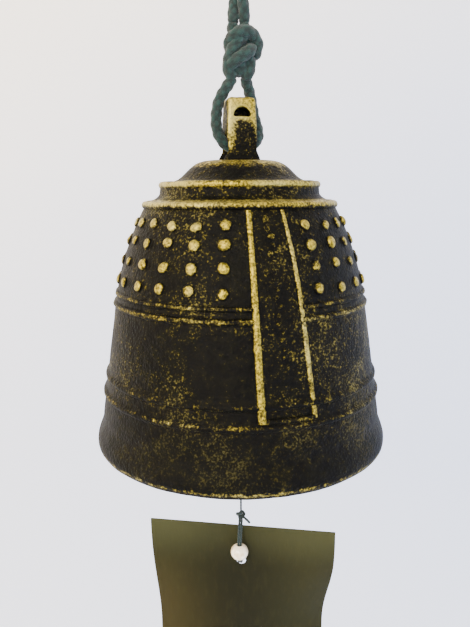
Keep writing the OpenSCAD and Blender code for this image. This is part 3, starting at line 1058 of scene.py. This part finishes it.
# %% Patinated brass
def patinated_brass():
    paint = Paint("patinated brass finish", Specular_IOR_Level=0.05)
    place, worn = paint.place(), paint.number("worn")
    grain = paint.noise(place, 2300.0, 3.0, 0.6)
    patch = paint.noise(place, 520.0, 3.0, 0.6)
    broad = paint.noise(place, 70.0, 2.0, 0.5)
    grit = paint.node("TexVoronoi", {"Vector": place, "Scale": 1500.0}, feature="SMOOTH_F1")
    height = paint.node("SeparateXYZ", {0: place}, out=2)
    # Below about 26 mm from the rim the flecks thin out and the brown stays darker.
    upper = height.step(RIM + 0.004, RIM + 0.026) * 0.8 + 0.2
    flecks = (grain * 0.8 + patch * 0.4 + broad * 0.4).step(0.84, 1.06) * upper
    bare = (worn * 1.05 + grain * 1.1 + patch * 1.0 - 1.05).step(0.36, 1.02)
    gold = paint.node("Math", {0: bare, 1: flecks * 0.32}, operation="MAXIMUM")
    brown = paint.blend(patch.step(0.35, 0.7), tint("#020201"), tint("#070702"))
    brown = paint.blend((broad * 0.6 + grain * 0.4).step(0.47, 0.66) * 0.6 * upper, brown,
                        tint("#151204"))
    brass = paint.blend(grain.step(0.3, 0.7), tint("#4b4312"), tint("#a69434"))
    brass = paint.blend(broad.step(0.42, 0.7) * 0.5, brass, tint("#b3ab6c"))
    relief = grain * 0.5 + (1 - grit) * 0.5 + patch * 0.9
    return paint.show(
        Base_Color=paint.blend(gold, brown, brass),
        Metallic=gold * 0.85,
        Roughness=0.5 - gold * 0.14 + grain * 0.1,
        Normal=paint.bump(relief, 0.00025))


# %% Plain brasses
def worked_brass(name, dark, light, dull):
    paint = Paint(name + " finish", Metallic=1.0)
    place = paint.place()
    patch = paint.noise(place, 260.0, 4.0, 0.6)
    scratch = paint.noise(paint.node("Mapping", {"Vector": place, "Scale": (1, 1, 9)}),
                          900.0, 2.0, 0.5)
    tarnish = (patch + scratch * 0.35).step(0.55, 0.95)
    return paint.show(
        Base_Color=paint.blend(tarnish, tint(light), tint(dark)),
        Roughness=dull + tarnish * 0.22 + scratch * 0.06,
        Normal=paint.bump(scratch * 0.4 + patch * 0.6, 0.00006))


# %% Cast brass of the clapper
def cast_brass():
    paint = Paint("cast_brass")
    place, worn = paint.place(), paint.number("worn")
    grain = paint.noise(place, 1100.0, 3.0, 0.6)
    patch = paint.noise(place, 300.0, 3.0, 0.6)
    bare = (worn + grain * 0.4 + patch * 0.5).step(0.6, 1.15)
    skin = paint.blend(patch.step(0.35, 0.7), tint("#4b3a1e"), tint("#6d552b"))
    return paint.show(
        Base_Color=paint.blend(bare, skin, tint("#c8a557")),
        Metallic=0.75 + bare * 0.25,
        Roughness=0.5 - bare * 0.17 + grain * 0.08,
        Normal=paint.bump(grain + patch * 0.6, 0.00012))


# %% [markdown]
# ## Cord, thread, bead and paper
# Cord and thread read the number kept on their skins, so that the grooves between strands are
# darker, as painted shade, and the strands lighter, and a fine streaky noise along the UVs gives
# the fibres. The bead is a pale glaze with clouds in it. The card is olive paper, a little
# lighter and greyer at the top, with fibres and a faint tooth. Its lower left is lighter and
# browner, a painted light from the window's side, and its middle is darker, a painted shade where
# the curl turns the sheet from the side light.

# %% Cord and thread
def fibre(name, groove, strand, shine, streaks):
    paint = Paint(name + " finish", Sheen_Weight=shine, Sheen_Roughness=0.5, Roughness=0.82,
                  Specular_IOR_Level=0.25)
    skin = paint.number("skin")
    uv = paint.node("UVMap", uv_map="along")
    streak = paint.noise(paint.node("Mapping", {"Vector": uv, "Scale": (9.0, 40.0, 1)}),
                         streaks, 3.0, 0.6)
    soft = paint.noise(paint.place(), 420.0, 2.0, 0.5)
    # Painted shade: the grooves between strands take the darker colour, and the strands the
    # lighter one.
    body = paint.blend(skin.step(0.15, 0.95), tint(groove), tint(strand))
    body = paint.blend(streak.step(0.45, 0.75) * 0.3, body, tint("#3d605a"))
    body = paint.blend(soft.step(0.45, 0.7) * 0.35, body, tint(groove))
    return paint.show(Base_Color=body, Normal=paint.bump(streak, 0.00012))


# %% Glaze of the bead
def pearl_glaze():
    paint = Paint("bead glaze finish", Roughness=0.22, Coat_Weight=0.5, Coat_Roughness=0.08)
    place = paint.place()
    cloud = paint.noise(place, 420.0, 4.0, 0.6)
    speck = paint.noise(place, 1500.0, 2.0, 0.5)
    cream = paint.blend(cloud.step(0.4, 0.68), tint("#efe5cf"), tint("#cbb58f"))
    return paint.show(Base_Color=paint.blend(speck.step(0.62, 0.75) * 0.5, cream,
                                             tint("#9b7d4e")),
                      Normal=paint.bump(cloud, 0.00012))


# %% Paper of the card
def olive_paper():
    paint = Paint("olive paper finish", Roughness=0.8, Specular_IOR_Level=0.1)
    place = paint.place()
    fibres = paint.noise(paint.node("Mapping", {"Vector": place, "Scale": (1.0, 1.0, 0.35)}),
                         900.0, 4.0, 0.65)
    cloud = paint.noise(place, 45.0, 3.0, 0.5)
    height = paint.node("SeparateXYZ", {0: place}, out=2)
    across = paint.node("SeparateXYZ", {0: place}, out=0)
    top = height.step(RIM - 0.036, RIM - 0.0225)
    # Painted light: the lower left of the card is lighter and browner, as the window's light
    # falls on the side that the curl turns towards it.
    left = (1 - across.step(-0.020, 0.002)) * (1 - height.step(RIM - 0.05, RIM - 0.025))
    # Painted shade: the middle of the card is darker, where the curled sheet turns from the side
    # light.
    middle = (1 - (across + 0.001).step(0.0, 0.019)) * (across + 0.001).step(-0.019, 0.0)
    base = paint.blend(cloud.step(0.35, 0.7), tint("#1c1c08"), tint("#201f09"))
    base = paint.blend(left * 0.55, base, tint("#2b2408"))
    base = paint.blend(top * 0.6, base, tint("#3b3d25"))
    base = paint.blend(middle * (1 - top * 0.5) * 0.7, base, tint("#070701"))
    base = paint.blend(fibres.step(0.45, 0.8) * 0.12, base, tint("#3c3b1e"))
    return paint.show(Base_Color=base, Normal=paint.bump(fibres, 0.00005))


# %% [markdown]
# ## Who wears what, and who moves with whom
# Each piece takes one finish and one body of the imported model, and names the plain solids that
# it stands for, which are then hidden. The hanging cord lies between two bodies.

# %% Finishes on pieces
brass_cast = patinated_brass()
# The first colour of each cord and thread is the painted shade in its grooves.
teal = fibre("teal_cord", "#040d0c", "#0f2926", 0.12, 2.2)
dark = fibre("dark_thread", "#071011", "#142628", 0.15, 1.6)
wears = [
    (ceiling_hook, worked_brass("hook_brass", "#4d3b10", "#9a7a26", 0.3), "hook_brass"),
    (hanging_cord, teal, "teal_cord"), (bell_sling, teal, "teal_cord"),
    (cord_knot, teal, "teal_cord"), (bell_shell, brass_cast, "patinated_brass"),
    (bell_bosses, brass_cast, "patinated_brass"), (bell_sashes, brass_cast, "patinated_brass"),
    (crown_loop, brass_cast, "patinated_brass"),
    (clapper_staple, worked_brass("staple_brass", "#43340f", "#8c7026", 0.33), "staple_brass"),
    (clapper, cast_brass(), "clapper_brass"), (bead, pearl_glaze(), "bead_cream"),
    (wind_card, olive_paper(), "olive_card")]
wears += [(piece, dark, "dark_thread") for piece in
          (clapper_thread, strip_thread, staple_knot, stop_knot, strip_knot, back_knot,
           card_ties, staple_loop)]
for piece, material, slot in wears:
    piece.data.materials.clear()
    piece.data.materials.append(material)
print(len(wears), "pieces have their finish")

# %% Rides
rides = [
    ("hook", ceiling_hook, ["ceiling_hook"]), ("sling", cord_knot, ["cord_knot"]),
    ("sling", bell_sling, ["bell_sling"]), ("bell", bell_shell, ["bell_casting"]),
    ("bell", bell_bosses, []), ("bell", bell_sashes, []), ("bell", crown_loop, []),
    ("bell", clapper_staple, ["clapper_staple"]), ("bell", staple_loop, ["staple_loop"]),
    ("thread_top", staple_knot, ["staple_knot"]),
    ("clapper", clapper_thread, ["clapper_thread"]), ("clapper", clapper, ["clapper"]),
    ("thread_middle", stop_knot, ["stop_knot"]),
    ("thread_lower", strip_thread, ["strip_thread"]),
    ("card_hanger", strip_knot, ["strip_knot"]), ("card_hanger", card_ties, ["card_ties"]),
    ("card_hanger", back_knot, ["back_knot"]), ("bead", bead, ["bead"]),
    ("card", wind_card, ["wind_card"])]
for body, piece, nodes in rides:
    assert len(piece.data.polygons) > 0, f"{piece.name} has no faces"
    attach(piece, body)
    if nodes:
        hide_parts(*nodes)
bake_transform(hanging_cord)
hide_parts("hanging_cord")
print(len(rides) + 1, "pieces ride")

# %% Cords and the sheet
print("cords and card made")

# %% [markdown]
# ## Light and floor
# The bell hangs in front of a pale wall by a window. A wide bowl is both floor and wall: its
# flat middle lies far below, and it rises all round, so no edge shows behind the bell from any
# side. The bowl glows, and its colour and glow are painted light, warm towards the upper left
# and cool towards the lower right. A large soft light stands at the upper left and is a little
# warm, a weaker and cooler one at the right, and a pale sky fills the rest.

# %% Bowl
FLAT, RISE, STEPS, STEP = 2.2, 1.5, 12, 7.5
clear()
bpy.ops.mesh.primitive_circle_add(vertices=96, radius=FLAT, fill_type="NGON",
                                  location=(0, 0, -1.1))
edit()
everything()
bpy.ops.mesh.select_mode(type="EDGE")
for i in range(STEPS):
    a = radians(STEP * (i + 1))
    before = a - radians(STEP)
    bpy.ops.mesh.extrude_edges_move(TRANSFORM_OT_translate={
        "value": (0, 0, RISE * (cos(before) - cos(a)))})
    grow = (FLAT + RISE * sin(a)) / (FLAT + RISE * sin(before))
    bpy.ops.transform.resize(value=(grow, grow, 1))
bpy.ops.mesh.extrude_edges_move(TRANSFORM_OT_translate={"value": (0, 0, 4)})
bowl = finished("bowl", 60)
pale = Paint("pale_wall", Roughness=0.95, Specular_IOR_Level=0.1, Emission_Strength=1.5)
spot = pale.node("TexCoord", out=3)
# Painted light: the wall's colour and glow run from warm at the upper left to cool at the lower
# right.
painted_light_lean = (pale.node("SeparateXYZ", {0: spot}, out=0) * 0.16
        - pale.node("SeparateXYZ", {0: spot}, out=2) * 0.22)
bowl.data.materials.append(pale.show(Base_Color=pale.blend(
    painted_light_lean.step(-0.75, 0.55), tint("#fcf5e6"), tint("#c9d0e2")), Emission_Color=pale.blend(
        painted_light_lean.step(-0.75, 0.55), tint("#ffe9c0"), tint("#9dafd4"))))


# %% Lights
def soft_light(name, place, aim, size, power, colour):
    light = bpy.data.lights.new(name, "AREA")
    light.shape, light.size, light.energy, light.color = "DISK", size, power, colour
    lamp = bpy.data.objects.new(name, light)
    into_scene(lamp)
    lamp.location = place
    lamp.rotation_euler = (Vector(aim) - Vector(place)).to_track_quat("-Z", "Y").to_euler()
    return lamp


middle = at(0, 0, 25)
soft_light("window", (-0.75, -0.95, 0.55), middle, 0.9, 30, (1.0, 0.93, 0.83))
soft_light("right_fill", (1.1, -0.5, -0.1), middle, 0.8, 4, (0.84, 0.9, 1.0))
soft_light("low_fill", (0.25, -0.6, -0.8), middle, 0.7, 3, (0.9, 0.92, 1.0))
world = bpy.data.worlds.new("sky")
world.use_nodes = True
world.node_tree.nodes["Background"].inputs["Color"].default_value = (0.95, 0.93, 0.91, 1)
world.node_tree.nodes["Background"].inputs["Strength"].default_value = 1.9
bpy.context.scene.world = world
print("lights and floor set")
